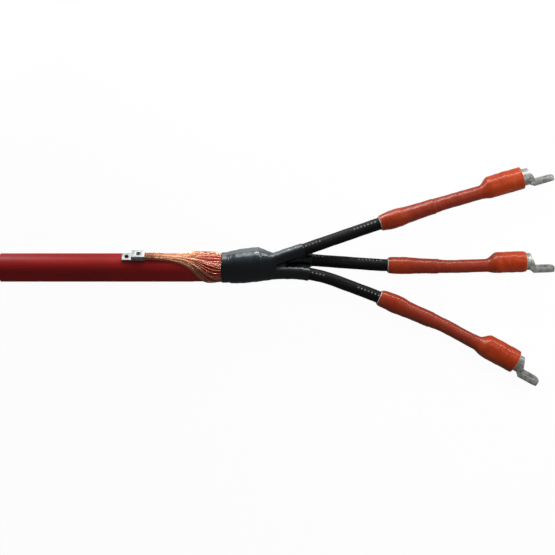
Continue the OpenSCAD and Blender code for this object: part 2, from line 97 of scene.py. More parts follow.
# place, target, size, watts, whether gloss shows it, spread in degrees: two low soft boxes, a small card
# and a long strip behind the cable, and a soft box over its lug end
lampSet = {"window": ((0.52, 0.62, 0.155), (0.52, 0, 0.06), (0.56, 0.29), 2.7, True, 180),
           "leftWindow": ((-0.17, 0.62, 0.12), (-0.05, 0, 0.03), (0.26, 0.24), 1.7, True, 180),
           "spark": ((0.46, 0.6, 0.065), (0.46, 0, 0.04), (0.09, 0.035), 0.36, True, 180),
           "strip": ((1.25, 0.62, 0.25), (1.15, 0, 0.02), (1.15, 0.05), 2.7, True, 180),
           "top": ((1.35, 0.23, 0.75), (0.95, -0.12, 0), (0.5, 0.5), 1.1, False, 70)}


# shader helpers

class Value:
    def __init__(self, paint, socket):
        self.paint, self.socket = paint, socket

    def calc(self, kind, *others):
        return self.paint.node("ShaderNodeMath", {"operation": kind}, dict(enumerate((self, *others))))

    def __add__(self, other):
        return self.calc("ADD", other)

    def __radd__(self, other):
        return self.calc("ADD", other)

    def __sub__(self, other):
        return self.calc("SUBTRACT", other)

    def __rsub__(self, other):
        return self.paint.node("ShaderNodeMath", {"operation": "SUBTRACT"}, {0: other, 1: self})

    def __mul__(self, other):
        return self.calc("MULTIPLY", other)

    def __rmul__(self, other):
        return self.calc("MULTIPLY", other)

    def ramp(self, low, high):
        return self.paint.node("ShaderNodeMapRange", {"interpolation_type": "SMOOTHSTEP"},
                               {"Value": self, "From Min": low, "From Max": high})

    def band(self, rise, top, fall, end):
        return self.ramp(rise, top) * (1 - self.ramp(fall, end))


class Paint:
    def __init__(self, name, group=bpy.data.materials, shader="Principled BSDF"):
        self.owner = group.new(name)
        self.owner.use_nodes = True
        self.tree = self.owner.node_tree
        self.shader = self.tree.nodes[shader]
        self.coords = self.tree.nodes.new("ShaderNodeTexCoord")

    def node(self, kind, settings=None, inputs=None, out=0):
        made = self.tree.nodes.new(kind)
        for key, value in (settings or {}).items():
            setattr(made, key, value)
        for key, value in (inputs or {}).items():
            self.put(made.inputs[key], value)
        return Value(self, made.outputs[out])

    def put(self, socket, value):
        if isinstance(value, Value):
            self.tree.links.new(value.socket, socket)
        elif isinstance(value, tuple) and socket.type == "RGBA":
            socket.default_value = (*value, 1)
        else:
            socket.default_value = value

    def place(self, scale, source):
        start = Value(self, self.coords.outputs[source])
        return self.node("ShaderNodeMapping", {}, {"Vector": start, "Scale": scale})

    def axis(self, which, source="Object"):
        start = Value(self, self.coords.outputs[source])
        return self.node("ShaderNodeSeparateXYZ", {}, {0: start}, which)

    def rays(self, *kinds):
        return [self.node("ShaderNodeLightPath", out=kind) for kind in kinds]

    def mark(self, name):
        return self.node("ShaderNodeAttribute", {"attribute_name": name}, {}, "Fac")

    def noise(self, size, scale=(1, 1, 1), detail=3.0, source="Object"):
        return self.node("ShaderNodeTexNoise", {},
                         {"Vector": self.place(scale, source), "Scale": size, "Detail": detail})

    def cells(self, size, scale=(1, 1, 1)):
        return self.node("ShaderNodeTexVoronoi", {}, {"Vector": self.place(scale, "Object"), "Scale": size})

    def mix(self, factor, first, second):
        return self.node("ShaderNodeMix", {"data_type": "RGBA"}, {0: factor, 6: first, 7: second}, 2)

    def bump(self, height, strength, distance):
        return self.node("ShaderNodeBump", {}, {"Height": height, "Strength": strength, "Distance": distance})

    def set(self, **sockets):
        for key, value in sockets.items():
            self.put(self.shader.inputs[key.replace("_", " ")], value)
        return self.owner


# finishes

wornFrom = (0.3515, 0.3525)  # where the sheath is roughened for the boot, metres from the cut end


def sheathRed():
    p = Paint("sheathRed")
    streak = p.noise(1, (6, 160, 160), 4)
    cloud = p.noise(9)
    scuff = p.noise(1, (90, 420, 420), 6).ramp(0.62, 0.78)
    worn = p.axis("X").ramp(*wornFrom)
    body = p.mix(streak.ramp(0.3, 0.7), (0.37, 0.013, 0.012), (0.46, 0.016, 0.014))
    body = p.mix(cloud.ramp(0.45, 0.75) * 0.35, body, (0.27, 0.010, 0.009))
    body = p.mix(scuff * 0.12 + worn * 0.08, body, (0.52, 0.07, 0.06))
    grain = p.noise(700, detail=2)
    rough = 0.36 + streak * 0.12 + scuff * 0.15 + worn * 0.2
    return p.set(Base_Color=body, Roughness=rough, Specular_IOR_Level=0.28,
                 Normal=p.bump(streak * 0.5 + grain * 0.2 + worn * grain * 0.6, 0.12, 0.0006))


def bootBlack():
    p = Paint("bootBlack")
    wave = p.noise(34, (0.55, 1, 1))
    fine = p.noise(420, detail=2)
    dust = p.noise(150, detail=5).ramp(0.6, 0.8)
    lump = p.noise(95, (0.8, 1, 1), 2)
    body = p.mix(wave.ramp(0.3, 0.7), (0.0016, 0.0016, 0.0020), (0.0040, 0.0041, 0.0048))
    body = p.mix(dust * 0.04, body, (0.06, 0.06, 0.064))
    return p.set(Base_Color=body, Roughness=0.3 + wave * 0.08 + dust * 0.1, Specular_IOR_Level=0.48,
                 Coat_Weight=0.45, Coat_Roughness=0.06, Coat_Tint=(0.9, 0.97, 1.0),
                 Specular_Tint=(0.78, 0.92, 1.0),
                 Normal=p.bump(wave + lump * 0.5 + fine * 0.04, 0.3, 0.0016))


# a broken line of plain pale dashes: dashes and groups to a metre, and the line's place round the sleeve
dashSet = {"dashes": 150, "groups": 9.5, "shift": 0.35, "round": (0.168, 0.174, 0.208, 0.214),
           "dash": (0.18, 0.24, 0.6, 0.66), "group": (0.56, 0.58), "colour": (0.24, 0.235, 0.225)}


def sleeveBlack(d):
    p = Paint("sleeveBlack")
    streak = p.noise(1, (9, 20, 1), 4, "UV")
    wave = p.noise(26, detail=2)
    along = p.axis("X", "UV")
    beat = (along * d["dashes"]).calc("FRACT")
    group = (along * d["groups"] + d["shift"]).calc("FRACT")
    line = p.axis("Y", "UV").band(*d["round"])
    dash = beat.band(*d["dash"]) * group.ramp(*d["group"]) * line
    dash = dash * p.noise(500).ramp(0.25, 0.5)
    body = p.mix(streak.ramp(0.3, 0.75), (0.004, 0.004, 0.0042), (0.010, 0.0098, 0.010))
    body = p.mix(dash * 0.8, body, d["colour"])
    return p.set(Base_Color=body, Roughness=0.46 + streak * 0.16, Specular_IOR_Level=0.2,
                 Normal=p.bump(wave + streak * 0.12, 0.12, 0.0012))


def tubeRed():
    p = Paint("tubeRed")
    streak = p.noise(1, (14, 7, 1), 4, "UV")
    cloud = p.noise(22, detail=4)
    fine = p.noise(520, detail=2)
    along = p.axis("X", "UV")
    # darker from the mouth to the lug, and most where the tube is shrunk most
    thin = (0.4 + along.ramp(0.735, 0.775) * 0.45) * (1 - along.ramp(0.885, 0.915))
    body = p.mix(cloud.ramp(0.32, 0.7), (0.36, 0.030, 0.006), (0.48, 0.056, 0.009))
    body = p.mix(thin, body, (0.25, 0.028, 0.015))
    body = p.mix(streak.ramp(0.5, 0.8) * 0.35, body, (0.24, 0.020, 0.010))
    bloom = p.noise(70, detail=5).ramp(0.58, 0.8)
    body = p.mix(bloom * 0.1, body, (0.56, 0.17, 0.1))
    body = p.mix(p.mark("edge") * 0.7, body, (0.62, 0.42, 0.34))
    return p.set(Base_Color=body, Roughness=0.24 + cloud * 0.16 + bloom * 0.12, Specular_IOR_Level=0.5,
                 Specular_Tint=(1.0, 0.70, 0.52), Coat_Weight=0.18, Coat_Roughness=0.08,
                 Normal=p.bump(cloud + fine * 0.03 + streak * 0.2, 0.2, 0.0014))


def tinned(name, light, dark, rough, metal):
    p = Paint(name)
    brush = p.noise(1, (60, 900, 900), 4)
    patch = p.noise(130, detail=4)
    pit = p.cells(520).ramp(0.0, 0.35)
    body = p.mix(patch.ramp(0.35, 0.68), dark, light)
    body = p.mix((1 - pit) * 0.25, body, tuple(c * 0.55 for c in dark))
    return p.set(Base_Color=body, Metallic=metal, Roughness=rough + patch * 0.16 + brush * 0.06,
                 Normal=p.bump(brush * 0.5 + patch * 0.5, 0.12, 0.0004))


def copperBright():
    p = Paint("copperBright")
    tone = p.noise(60, (0.5, 1, 1))
    dull = p.noise(24, (0.6, 1, 1)).ramp(0.5, 0.72)
    body = p.mix(tone.ramp(0.3, 0.7), (0.90, 0.42, 0.23), (1.0, 0.62, 0.42))
    body = p.mix(dull * 0.35 + p.mark("tone").ramp(0.55, 1.0) * 0.65, body, (0.26, 0.07, 0.022))
    return p.set(Base_Color=body, Metallic=0.92, Roughness=0.26 + dull * 0.15)


def conductorCopper():
    p = Paint("conductorCopper")
    strand = p.cells(420, (0, 1, 1))
    body = p.mix(strand.ramp(0.25, 0.75), (0.82, 0.36, 0.21), (0.22, 0.07, 0.03))
    return p.set(Base_Color=body, Metallic=1.0, Roughness=0.3 + strand * 0.2,
                 Normal=p.bump(strand, 0.4, 0.0005))


def plain(name, low, high, rough, size=60.0, bump=0.1):
    p = Paint(name)
    cloud = p.noise(size, detail=4)
    fine = p.noise(size * 9, detail=2)
    body = p.mix(cloud.ramp(0.3, 0.7), low, high)
    return p.set(Base_Color=body, Roughness=rough + fine * 0.12,
                 Normal=p.bump(cloud + fine * 0.2, bump, 0.0008))


# the paper is white to the camera; in reflections it is a painted glow, brighter toward the soft boxes, with
# a painted bright patch behind the boot
paperSet = {"near": (-0.03, 0.16), "paintedGlowPatch": (0.3, 0.4, 0.46, 0.58), "gap": (0.0, 0.08, 0.2, 0.3),
            "lugEnd": (0.6, 0.8), "white": (1.04,) * 3, "paintedGlowPatchWhite": (3.3,) * 3, "mirrored": (0.14,) * 3}


def floorPaper(s):
    p = Paint("floorPaper")
    shade = p.noise(3, detail=2)
    seen, gloss, through = p.rays("Is Camera Ray", "Is Glossy Ray", "Is Transmission Ray")
    paper = p.mix(shade * 0.1, (0.5, 0.5, 0.5), (0.46, 0.46, 0.46))
    # painted shade in reflections: seen in gloss, the paper's own colour drops to 0.14
    p.set(Base_Color=p.mix(gloss, paper, s["mirrored"]), Roughness=0.9)
    along = p.axis("X")
    near = p.axis("Y").ramp(*s["near"])
    # painted highlight source: behind the boot the paper glows at 3.3 times white, in reflections only
    paintedGlowPatch = near * gloss * along.band(*s["paintedGlowPatch"])
    white = p.mix(paintedGlowPatch, s["white"], s["paintedGlowPatchWhite"])
    glow = p.node("ShaderNodeEmission", {}, {"Color": white, "Strength": 1.0})
    # painted reflection: how much glow reflections see, more toward the soft boxes, less in a gap behind the
    # sheath and toward the lug end
    paintedReflectionShare = 0.05 + near * (0.75 - along.ramp(*s["lugEnd"]) * 0.58 - along.band(*s["gap"]) * 0.6)
    share = (seen * 0.93).calc("MAXIMUM", (gloss * paintedReflectionShare).calc("MAXIMUM", through * 0.3))
    both = p.node("ShaderNodeMixShader", {}, {0: share, 1: Value(p, p.shader.outputs[0]), 2: glow})
    p.tree.links.new(both.socket, p.tree.nodes["Material Output"].inputs["Surface"])
    return p.owner


finish = {"sheath_red": sheathRed(),
          "boot_black": bootBlack(),
          "sleeve_black": sleeveBlack(dashSet),
          "tube_red": tubeRed(),
          "tin": tinned("lugTin", (0.68, 0.69, 0.65), (0.36, 0.36, 0.33), 0.3, 0.68),
          "earth_tin": tinned("earthTin", (0.52, 0.54, 0.53), (0.34, 0.36, 0.35), 0.36, 0.95),
          "copper": copperBright(),
          "conductor": conductorCopper(),
          "steel": tinned("screwSteel", (0.11, 0.115, 0.12), (0.04, 0.04, 0.045), 0.3, 0.9),
          "bead": plain("beadMastic", (0.5, 0.4, 0.33), (0.68, 0.6, 0.53), 0.45),
          "mastic": plain("crotchMastic", (0.36, 0.3, 0.15), (0.5, 0.43, 0.25), 0.55),
          "insulation": plain("coreInsulation", (0.72, 0.69, 0.6), (0.82, 0.79, 0.71), 0.4),
          "core_screen": plain("coreScreen", (0.012, 0.012, 0.012), (0.028, 0.028, 0.028), 0.6),
          "stress_black": plain("stressTube", (0.012, 0.012, 0.013), (0.026, 0.026, 0.028), 0.5),
          "filler_grey": plain("fillerGrey", (0.08, 0.08, 0.08), (0.15, 0.15, 0.145), 0.7, 140.0, 0.3),
          "floor": floorPaper(paperSet)}
print("finishes made:", len(finish))


# routes of the cores, as in the part: straight length, turn in degrees and bend radius, in millimetres

cable = {"sheathR": 26.0, "sheathLen": 418.0, "abradedDepth": 0.4, "fillerR": 22.2, "corePitchR": 11.45,
         "coreRoll": (45.0, -75.0, 165.0), "tilt": (-8.0, -25.0, 5.0),
         "route": (((458, 19.3, 150), (185, -1.3, 300), (122, -1.7, 300), (300, 0, 0)),
                   ((463, 14, 120), (26, -18.6, 120), (131, 3.2, 300), (112.5, 3.6, 300), (300, 0, 0)),
                   ((448, 3, 400), (39, -23.6, 260), (64.5, -2.8, 300), (122, -5.3, 300), (300, 0, 0)))}
lugSet = {"r": 15.5, "offset": 4.5, "barrel": 61.0, "bare": (12.5, 8.0, 11.0), "turn": (9.0, 11.0, 18.0),
          "bolts": (14.0, 35.0)}


def routePoint(k, s):
    x = y = h = 0.0
    for straight, turn, radius in cable["route"][k]:
        a = math.radians(h)
        if s <= straight or turn == 0:
            return x + s * math.cos(a), y + s * math.sin(a), h
        x, y, s = x + straight * math.cos(a), y + straight * math.sin(a), s - straight
        length = math.radians(abs(turn)) * radius
        part = min(s / length, 1.0)
        b = math.radians(h + turn * part)
        r = math.copysign(radius, turn)
        x, y = x + r * (math.sin(b) - math.sin(a)), y + r * (math.cos(a) - math.cos(b))
        h += turn * part
        if s <= length:
            return x, y, h
        s -= length


def coreFrame(k, s):
    x, y, h = routePoint(k, s)
    a, t, c = (math.radians(d) for d in (h, cable["tilt"][k], cable["coreRoll"][k]))
    base = np.array((0, cable["corePitchR"] * math.cos(c), cable["corePitchR"] * math.sin(c)))
    side, up = np.array((0, math.cos(t), math.sin(t))), np.array((0, -math.sin(t), math.cos(t)))
    along = np.array((1.0, 0, 0))
    return (base + x * along + y * side, math.cos(a) * along + math.sin(a) * side,
            -math.sin(a) * along + math.cos(a) * side, up)


def palmAngle(k):
    return math.radians(lugSet["turn"][k] - cable["tilt"][k])


# shape helpers

def smooth(t):
    t = min(max(t, 0.0), 1.0)
    return t * t * (3 - 2 * t)


def hump(x, middle, wide):
    return np.exp(-((x - middle) / wide) ** 2)


def waves(rows, along, angle, shift):
    # each row: height, turns along, waves round, share of the shift
    return sum(h * np.sin(f * along + n * angle + p * shift) for h, f, n, p in rows)


def spaced(a, b, step):
    count = max(2, int(round(abs(b - a) / step)) + 1)
    return list(np.linspace(a, b, count))


def ringAt(place, side, up, r, sides):
    turns = [fullTurn * q / sides for q in range(sides)]
    return [place + r * (math.cos(a) * side + math.sin(a) * up) for a in turns]


def meshPiece(name, points, faces, slot, uv=None):
    data = bpy.data.meshes.new(name)
    data.from_pydata([tuple(p) for p in np.asarray(points) * mm], [], faces)
    if uv is not None:
        layer = data.uv_layers.new(name="length")
        for loop in data.loops:
            layer.data[loop.index].uv = uv[loop.vertex_index]
    data.shade_smooth()
    data.materials.append(finish[slot])
    return addObject(name, data)


def keep(piece, slot, *names):
    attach(piece, "root")
    if names:
        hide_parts(*names)


def settled(piece):
    done = bpy.data.meshes.new_from_object(piece.evaluated_get(bpy.context.evaluated_depsgraph_get()))
    piece.modifiers.clear()
    piece.data = done


# closed tube from rings (length on the core, radius), outside first and then back inside
def ringTube(name, k, rings, sides, slot, skin, centre=None, edge=None):
    points, uv, faces = [], [], []
    for s, r in rings:
        place, along, side, up = coreFrame(k, s)
        if centre:
            place = place + centre(s)
        for q in range(sides):
            a = fullTurn * q / sides
            points.append(place + (r + skin(s, a, r)) * (math.cos(a) * side + math.sin(a) * up))
            uv.append((s * mm, q / sides))
    for j in range(len(rings)):
        here, ahead = j * sides, (j + 1) % len(rings) * sides
        for q in range(sides):
            beside = (q + 1) % sides
            faces.append((here + q, ahead + q, ahead + beside, here + beside))
    piece = meshPiece(name, points, faces, slot, uv)
    if edge:
        mark = piece.data.attributes.new("edge", "FLOAT", "POINT")
        for j, (s, r) in enumerate(rings):
            for q in range(sides):
                mark.data[j * sides + q].value = edge(s)
    return piece


def roundedTube(outer, inner, s0, s1, step, lip, arcSteps=4, boreStep=9):
    # rings of a tube whose two ends are rounded over
    turns = [math.pi / 2 * j / arcSteps for j in range(arcSteps + 1)]
    arc = [(lip * (1 - math.sin(a)), lip * (1 - math.cos(a))) for a in turns]
    start = [(s0 + back, outer(s0 + lip) - drop) for back, drop in reversed(arc)]
    end = [(s1 - back, outer(s1 - lip) - drop) for back, drop in arc]
    body = [(s, outer(s)) for s in spaced(s0 + lip, s1 - lip, step)][1:-1]
    bore = [(s, inner(s)) for s in spaced(s1, s0, boreStep)]
    return start + body + end + bore


# red insulating tubes: outside radii of each front by millimetres from its mouth, then the lug end

tubeSet = {"start": (706.0, 711.0, 700.0), "length": (274.0, 253.0, 277.0), "wall": 2.6, "sides": 80,
           "ringStep": 1.3, "lip": 0.9, "step": (102.0, 90.0, 102.0), "flare": 20.0, "wrap": (2.4, 1.2, 3.8),
           "wrapBack": (12.0, 0.5, 10.0), "taper": (0.0, 1.0, 0.2), "taperLen": 6,
           "thinR": (12.9, 12.15, 12.7), "thinAfter": 14, "easing": 15,
           "front": (((0, 14.2), (5, 14.7), (13, 16.2), (21, 17.2), (30, 17.5), (38, 17.4), (43, 16.6),
                      (50, 15.5), (67, 15.1), (82, 14.6), (100, 14.3), (107, 13.6), (114, 13.1)),
                     ((0, 14.3), (4, 14.9), (10, 15.4), (25, 15.7), (39, 15.15), (54, 14.4), (69, 14.0),
                      (86, 13.7), (92, 13.1), (98, 12.3)),
                     ((0, 14.2), (5, 14.7), (14, 15.4), (30, 16.3), (46, 15.9), (62, 15.2), (79, 14.8),
                      (97, 14.7), (108, 13.9), (120, 12.8)))}
# what the shrinking leaves on the outside, heights first
tubeSkin = {"soft": ((0.12, 0.13, 2, 1.3), (0.09, 0.29, -3, 1.0)), "mouth": 0.4, "rings": (0.02, 0.11),
            "ringArea": (14, 26), "longRing": (0.05, 0.37, 1, 1.7), "ridge": (0.45, 1.5),
            "groove": (0.4, 3.6, 1.8), "knob": (0.55, 7, 0.45), "fold": 0.12, "fuller": 1.5, "ragged": 0.9,
            "sink": 0.15, "seed": 31}


def lugMouth(k):
    return tubeSet["start"][k] + tubeSet["length"][k] + lugSet["bare"][k] - lugSet["barrel"]


def lugShare(k, s):
    return smooth((s - lugMouth(k) + tubeSet["wrapBack"][k] + tubeSet["flare"]) / tubeSet["flare"])


def tubeProfile(k):
    # outside radius every half millimetre, eased over a few millimetres
    last, thin = tubeSet["front"][k][-1][0], tubeSet["thinR"][k]
    places = list(tubeSet["front"][k]) + [(last + tubeSet["thinAfter"], thin), (400, thin)]
    t = np.arange(-10, 330, 0.5)
    r = np.interp(t, [a for a, b in places], [b for a, b in places])
    window = np.hanning(tubeSet["easing"])
    return t, np.convolve(r, window / window.sum(), "same")


profiles = [tubeProfile(k) for k in range(3)]


def tubeRadius(k, s):
    t = s - tubeSet["start"][k]
    r = float(np.interp(t, *profiles[k]))
    last = lugSet["r"] + tubeSet["wrap"][k] + tubeSet["wall"]
    r += (last - r) * lugShare(k, s)
    left = tubeSet["length"][k] - t
    return r - tubeSet["taper"][k] * smooth((tubeSet["taperLen"] - left) / tubeSet["taperLen"])


def makeCreases(k, first, last):
    # dents and folds left by the shrinking: place, turn, width along, width round, height and slant
    luck = random.Random(tubeSkin["seed"] + k)
    zones = ((first, last, 15, (1.6, 3.2), (0.35, 1.0), 0.5),
             (8, 60, 9, (2.5, 5.0), (0.35, 0.9), 0.32),
             (60, first - 20, 10, (2.0, 5.0), (0.3, 0.8), 0.16))
    return [(luck.uniform(low, high), luck.uniform(-math.pi, math.pi), luck.uniform(*wide),
             luck.uniform(*arc), luck.choice((-1, 1)) * luck.uniform(0.5, 1) * height, luck.uniform(-4, 4))
            for low, high, count, wide, arc, height in zones for n in range(count)]


def makeTube(k):
    skin = tubeSkin
    s0, length = tubeSet["start"][k], tubeSet["length"][k]
    s1 = s0 + length
    wall, step = tubeSet["wall"], tubeSet["step"][k]
    mouth = lugMouth(k)
    wrapStart = mouth - tubeSet["wrapBack"][k]
    creases = makeCreases(k, wrapStart - s0, length - 3)

    def crease(t, a):
        total = 0.0
        for place, turn, wide, arc, height, slant in creases:
            if abs(t - place) < 4 * wide + 8:
                off = math.remainder(a - turn, fullTurn)
                total += height * hump(t - slant * off, place, wide) * hump(off, 0, arc)
        return total

    def stepRings(t, a):
        # fine rings round the step, and a ridge and groove on it
        after, wide = skin["ringArea"]
        low, more = skin["rings"]
        ring = (low + more * hump(t, step + after, wide)) * math.sin(0.9 * t + 0.8 * math.sin(a + k))
        ridge, ridgeWide = skin["ridge"]
        groove, grooveAfter, grooveWide = skin["groove"]
        ring += ridge * hump(t, step, ridgeWide) - groove * hump(t, step + grooveAfter, grooveWide)
        return ring + waves((skin["longRing"],), t, a, k)

    def lugForm(s, t, a):
        # the bolts press through, and the tube folds on the barrel
        height, wide, arc = skin["knob"]
        off = math.remainder(a - palmAngle(k), fullTurn)
        knob = sum(height * hump(s, mouth + b, wide) * hump(off, 0, arc) for b in lugSet["bolts"])
        return lugShare(k, s) * (knob + skin["fold"] * math.sin(0.31 * t + 1.1 * math.sin(2 * a + k)))

    def wander(s, a, radius):
        t = s - s0
        if radius < tubeRadius(k, s) - 0.7 * wall:
            return 0.0
        grow = waves(skin["soft"], t, a, k) + stepRings(t, a) + lugForm(s, t, a) + crease(t, a)
        grow += skin["mouth"] * math.sin(a * 2 + k) * smooth(t / 4) * (1 - smooth((t - 30) / 20))
        if k == 0:  # ragged lip at the upper tube's end
            grow += skin["ragged"] * smooth((t - length + 4) / 3) * max(0.0, math.cos(a - 0.5)) ** 4
        if k == 2:  # the lower tube is fuller on its upper side, at its mouth and where it widens to the lug
            upper = skin["fuller"] * max(0.0, math.cos(a - 0.2)) ** 2
            grow += upper * smooth(t / 8) * (1 - smooth((t - 40) / 18))
            grow += upper * hump(s, wrapStart - tubeSet["flare"] + 2, 10)
        return grow - skin["sink"]

    def centre(s):
        place, along, side, up = coreFrame(k, s)
        normal = math.cos(palmAngle(k)) * side + math.sin(palmAngle(k)) * up
        return lugSet["offset"] * lugShare(k, s) * normal

    def edge(s):
        return 1.0 if s > s1 - 0.6 or s < s0 + 0.3 else 0.0

    rings = roundedTube(lambda s: tubeRadius(k, s), lambda s: tubeRadius(k, s) - wall, s0, s1,
                        tubeSet["ringStep"], tubeSet["lip"])
    piece = ringTube("insulatingTube%d" % (k + 1), k, rings, tubeSet["sides"], "tube_red",
                     wander, centre, edge)
    keep(piece, "tube_red", "insulating_tube_%d" % (k + 1))


# black sleeves

sleeveSet = {"r": 11.1, "start": 514.0, "under": 24.0, "wall": 1.25, "sides": 56, "ringStep": 2.2, "lip": 0.4,
             "ripple": ((0.10, 0.11, 2, 1), (0.07, 0.23, -3, 2)), "rippleDepth": 0.6, "proud": 0.05}


def makeSleeve(k):
    s0, s1 = sleeveSet["start"], tubeSet["start"][k] + sleeveSet["under"]
    r, wall = sleeveSet["r"], sleeveSet["wall"]

    def ripple(s, a, radius):
        if radius < r - sleeveSet["rippleDepth"]:
            return 0.0
        return waves(sleeveSet["ripple"], s, a, k) + sleeveSet["proud"]

    rings = roundedTube(lambda s: r, lambda s: r - wall, s0, s1, sleeveSet["ringStep"], sleeveSet["lip"])
    piece = ringTube("coreSleeve%d" % (k + 1), k, rings, sleeveSet["sides"], "sleeve_black", ripple)
    keep(piece, "sleeve_black", "core_sleeve_%d" % (k + 1))


# beads of mastic in the mouths of the red tubes

beadSet = {"out": 1.5, "len": 4.0, "sides": 72, "lumps": ((0.28, 0, 5, 1), (0.2, 0, 9, 2))}


def makeBead(k):
    s0, out, back = tubeSet["start"][k], beadSet["out"], beadSet["len"]
    r0, r1 = sleeveSet["r"] + 0.05, tubeRadius(k, s0) - tubeSet["wall"] + 0.6

    def lump(s, a, radius):
        if s > s0 + 0.5 or radius < r0 + 0.2:
            return 0.0
        return waves(beadSet["lumps"], s, a, k)

    rings = [(s0 - out * 0.9, r0 + 0.5), (s0 - out, r0 + 1.1), (s0 - out * 0.8, r0 + 1.9),
             (s0 - 0.4, r1 + 0.5), (s0 - 0.05, r1 + 0.75), (s0 - 0.02, r1 - 0.05), (s0 + back, r1 - 0.05),
             (s0 + back, r0), (s0 - out * 0.6, r0)]
    piece = ringTube("mouthBead%d" % (k + 1), k, rings, beadSet["sides"], "bead", lump)
    keep(piece, "bead", "mouth_bead_%d" % (k + 1))


for core in range(3):
    makeSleeve(core)
    makeTube(core)
    makeBead(core)
print("sleeves, tubes and beads made")


# breakout boot: one moulding, blended at the crotch

bootSet = {"x": 403.0, "rimR": 28.0, "rimLen": 15.0, "stepR": 29.5, "maxR": 32.0, "bodyLen": 58.0,
           "lean": 6.5, "shoulder": 26.0, "web": 18.0, "fingerR": 13.15, "fingerEnd": (557.0, 571.0, 564.0),
           "fingerIn": 30.0, "bore": 26.75, "overcut": 4.0, "fingerBore": 22.0, "fit": 0.05, "voxel": 0.85,
           "smoothing": (0.5, 16), "dents": ((0.22, 0.16, 2, 0), (0.16, 0.33, -3, 1), (0.12, 0.55, 5, 0)),
           "dentShare": 0.8, "stepLine": (0.5, 2.2, 1.5), "turnSides": 64, "runSides": 48, "hullSides": 40,
           "runStep": 4.0}


def addRows(mesh, rows):
    rows = [[mesh.verts.new(p) for p in row] for row in rows]
    sides = len(rows[0])
    for first, second in zip(rows, rows[1:]):
        for q in range(sides):
            mesh.faces.new((first[q], second[q], second[(q + 1) % sides], first[(q + 1) % sides]))
    mesh.faces.new(rows[0])
    mesh.faces.new(rows[-1][::-1])


def addTurned(mesh, profile, place, along):
    along = np.array(along) / np.linalg.norm(along)
    side = np.cross((0, 0, 1.0), along)
    side /= np.linalg.norm(side)
    up = np.cross(along, side)
    start, sides = np.array(place), bootSet["turnSides"]
    addRows(mesh, [ringAt(start + a * along, side, up, r, sides) for a, r in profile])


def addRun(mesh, k, s0, s1, r):
    rows = []
    for s in spaced(s0, s1, bootSet["runStep"]):
        place, along, side, up = coreFrame(k, s)
        rows.append(ringAt(place, side, up, r, bootSet["runSides"]))
    addRows(mesh, rows)


def meshFrom(name, mesh):
    bmesh.ops.recalc_face_normals(mesh, faces=mesh.faces)
    data = bpy.data.meshes.new(name)
    mesh.to_mesh(data)
    mesh.free()
    return addObject(name, data)


def hullPoints(mesh, points):
    made = [mesh.verts.new(p) for p in points]
    bmesh.ops.convex_hull(mesh, input=made)


def fingerRings(b, places):
    points = []
    for k in range(3):
        for s, share in places:
            place, along, side, up = coreFrame(k, s)
            points += ringAt(place, side, up, share * b["fingerR"], b["hullSides"])
    return points


def bootForm(b):
    # rim, body and fingers, with the shoulder and the web between the fingers as hulls
    mesh = bmesh.new()
    lean = math.radians(b["lean"])
    axis = np.array((math.cos(lean), math.sin(lean), 0))
    across, up = np.array((-math.sin(lean), math.cos(lean), 0)), np.array((0, 0, 1.0))
    start = np.array((b["x"] + b["rimLen"], 0, 0))
    addTurned(mesh, [(0, b["rimR"]), (b["rimLen"] + 3, b["rimR"])], (b["x"], 0, 0), (1, 0, 0))
    body = [(-2, b["stepR"] - 1), (0.5, b["stepR"]),
            (b["bodyLen"] * 0.36, (b["stepR"] + b["maxR"]) / 2 + 0.6),
            (b["bodyLen"] * 0.82, b["maxR"]), (b["bodyLen"], b["maxR"] - 0.6)]
    addTurned(mesh, body, start, axis)
    root = b["x"] + b["rimLen"] + b["bodyLen"] + b["shoulder"]
    for k in range(3):
        addRun(mesh, k, root - b["fingerIn"], b["fingerEnd"][k], b["fingerR"])
    solid = meshFrom("breakoutBoot", mesh)
    ring = []
    for back, r in ((-2, b["maxR"] - 0.7), (2, b["maxR"] - 3)):
        ring += ringAt(start + (b["bodyLen"] + back) * axis, across, up, r, b["turnSides"])
    shoulder = bmesh.new()
    hullPoints(shoulder, ring + fingerRings(b, ((root - 4, 1.0), (root, 1.0))))
    hullPoints(shoulder, fingerRings(b, ((root - 6, 0.6), (root + b["web"], 0.5))))
    shoulderPiece = meshFrom("bootShoulder", shoulder)
    join = bmesh.new()
    join.from_mesh(solid.data)
    join.from_mesh(shoulderPiece.data)
    join.to_mesh(solid.data)
    join.free()
    bpy.data.objects.remove(shoulderPiece)
    remesh = solid.modifiers.new("voxels", "REMESH")
    remesh.mode = "VOXEL"
    remesh.voxel_size = b["voxel"]
    soft = solid.modifiers.new("soften", "SMOOTH")
    soft.factor, soft.iterations = b["smoothing"]
    settled(solid)
    return solid


def dentBoot(b, solid):
    # slight dents and drag lines of a shrunk moulding, and a line in front of the step
    points = solid.data.vertices
    co, no = np.zeros(len(points) * 3), np.zeros(len(points) * 3)
    points.foreach_get("co", co)
    points.foreach_get("normal", no)
    co, no = co.reshape(-1, 3), no.reshape(-1, 3)
    x, y, z = co.T
    stepX = b["x"] + b["rimLen"]
    grow = b["dentShare"] * waves(b["dents"], x, np.arctan2(z, y), 1.0) * np.clip((x - stepX) / 12, 0.1, 1)
    depth, before, wide = b["stepLine"]
    grow -= depth * hump(x, stepX - before, wide)
    co = co + no * grow[:, None]
    points.foreach_set("co", co.ravel())


def boreBoot(b, solid):
    cut = bmesh.new()
    over = b["overcut"]
    addTurned(cut, [(-over, b["bore"]), (b["rimLen"] + over, b["bore"])], (b["x"], 0, 0), (1, 0, 0))
    tools = [meshFrom("bootCut", cut)]
    for k in range(3):
        finger = bmesh.new()
        end = b["fingerEnd"][k]
        addRun(finger, k, end - b["fingerBore"], end + over, sleeveSet["r"] + b["fit"])
        tools.append(meshFrom("fingerCut%d" % k, finger))
    for tool in tools:
        hole = solid.modifiers.new("hole", "BOOLEAN")
        hole.operation, hole.solver, hole.object = "DIFFERENCE", "EXACT", tool
    settled(solid)
    for tool in tools:
        bpy.data.objects.remove(tool)


